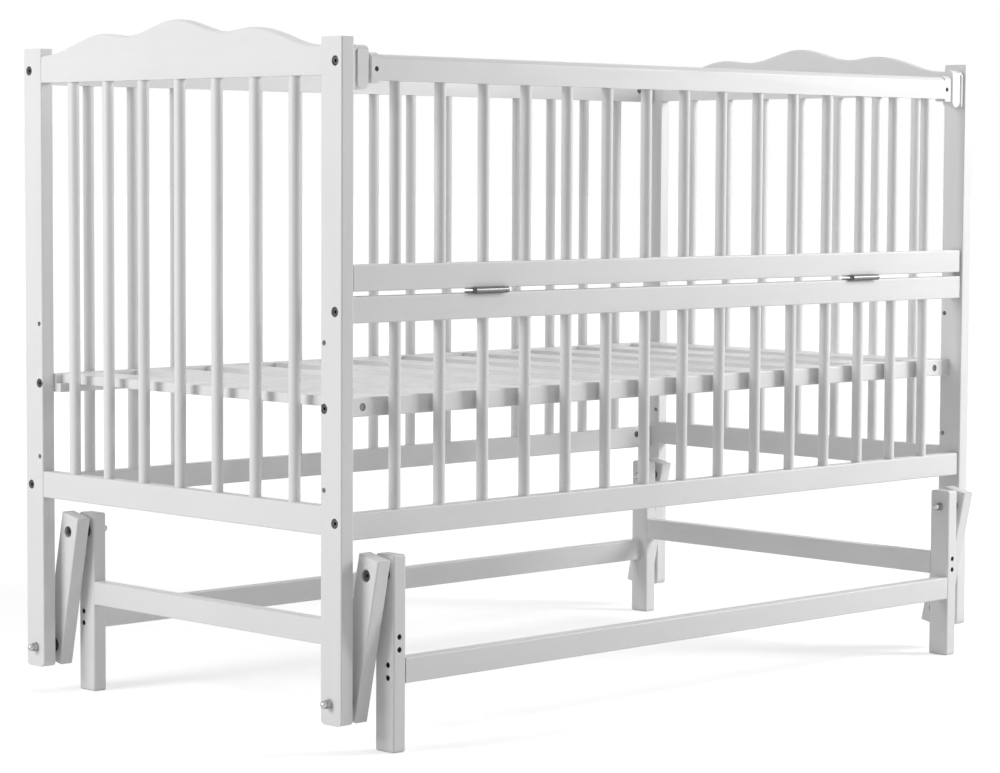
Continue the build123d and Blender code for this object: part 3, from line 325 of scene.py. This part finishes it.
floor_mesh = bpy.data.meshes.new("studio_floor")
floor_corners = [(-FLOOR_HALF, -FLOOR_HALF, 0), (FLOOR_HALF, -FLOOR_HALF, 0),
                 (FLOOR_HALF, FLOOR_HALF, 0), (-FLOOR_HALF, FLOOR_HALF, 0)]
floor_mesh.from_pydata(floor_corners, [], [(0, 1, 2, 3)])
floor = bpy.data.objects.new("studio_floor", floor_mesh)
bpy.context.scene.collection.objects.link(floor)
floor_material = new_material("studio_floor")
add, link = node_tools(floor_material)
out = add("ShaderNodeOutputMaterial")
soft = add("ShaderNodeBsdfDiffuse")
soft.inputs["Color"].default_value = (FLOOR_WHITE, FLOOR_WHITE, FLOOR_WHITE, 1)
glow = add("ShaderNodeEmission")
glow.inputs["Color"].default_value = (1, 1, 1, 1)
# white far from the crib, and dim enough near it to keep a faint shadow
floor_place = add("ShaderNodeTexCoord")
reach = add("ShaderNodeVectorMath", operation="LENGTH")
link(floor_place.outputs["Object"], reach.inputs[0])
glow_range = ramp(add, GLOW_NEAR, GLOW_FAR, GLOW_LOW, GLOW_HIGH)
link(reach.outputs["Value"], glow_range.inputs["Value"])
link(glow_range.outputs["Result"], glow.inputs["Strength"])
both = add("ShaderNodeAddShader")
link(soft.outputs["BSDF"], both.inputs[0])
link(glow.outputs["Emission"], both.inputs[1])
pick = add("ShaderNodeMixShader")
link(sees_white(add, link), pick.inputs["Fac"])
link(soft.outputs["BSDF"], pick.inputs[1])
link(both.outputs["Shader"], pick.inputs[2])
link(pick.outputs["Shader"], out.inputs["Surface"])
floor_mesh.materials.append(floor_material)

world = bpy.data.worlds.new("studio")
bpy.context.scene.world = world
world.use_nodes = True
add, link = node_tools(world)
world_out = add("ShaderNodeOutputWorld")
seen = add("ShaderNodeBackground")
seen.inputs["Color"].default_value = (1, 1, 1, 1)
seen.inputs["Strength"].default_value = 1.0
lit = add("ShaderNodeBackground")
lit.inputs["Color"].default_value = (1, 1, 1, 1)
lit.inputs["Strength"].default_value = ROOM_LIGHT
pick = add("ShaderNodeMixShader")
link(sees_white(add, link), pick.inputs["Fac"])
link(lit.outputs["Background"], pick.inputs[1])
link(seen.outputs["Background"], pick.inputs[2])
link(pick.outputs["Shader"], world_out.inputs["Surface"])


def area_light(name, at, target, width, height, power):
    data = bpy.data.lights.new(name, "AREA")
    data.shape = "RECTANGLE"
    data.size = width
    data.size_y = height
    data.energy = power
    obj = bpy.data.objects.new(name, data)
    obj.location = at
    obj.rotation_euler = (Vector(target) - Vector(at)).to_track_quat("-Z", "Y").to_euler()
    bpy.context.scene.collection.objects.link(obj)


area_light("key_right", (2.2, -1.9, 1.6), (0.5, -0.2, 0.45), 0.9, 1.4, 64.0)
area_light("fill_left", (-3.1, 0.7, 1.5), (-0.4, 0.0, 0.45), 1.3, 1.6, 51.0)
area_light("top", (0.1, 0.6, 3.2), (0.0, 0.0, 0.3), 2.0, 1.6, 17.0)

# Camera

# the CAD frame was moved along Y by this much to centre the part
frame_shift_y = 0.016223
SENSOR_MM = 36.0
PICTURE_PX = 1000.0
cam_at = Vector((-3.00963, -3.02718 + frame_shift_y, 0.706872))
yaw = 0.7759597
pitch = -0.0712527
roll = 0.0050531
focal_px = 3022.07
forward = Vector((math.sin(yaw) * math.cos(pitch), math.cos(yaw) * math.cos(pitch), math.sin(pitch)))
right = Vector((math.cos(yaw), -math.sin(yaw), 0.0))
up = right.cross(forward)
right_rolled = math.cos(roll) * right + math.sin(roll) * up
up_rolled = -math.sin(roll) * right + math.cos(roll) * up
turn = Matrix((right_rolled, up_rolled, -forward)).transposed().to_4x4()
cam_data = bpy.data.cameras.new("camera")
cam_data.sensor_fit = "HORIZONTAL"
cam_data.sensor_width = SENSOR_MM
cam_data.lens = SENSOR_MM * focal_px / PICTURE_PX
cam_data.clip_end = 200.0
camera = bpy.data.objects.new("camera", cam_data)
camera.matrix_world = Matrix.Translation(cam_at) @ turn
bpy.context.scene.collection.objects.link(camera)
bpy.context.scene.camera = camera
bpy.context.scene.view_settings.view_transform = "Standard"
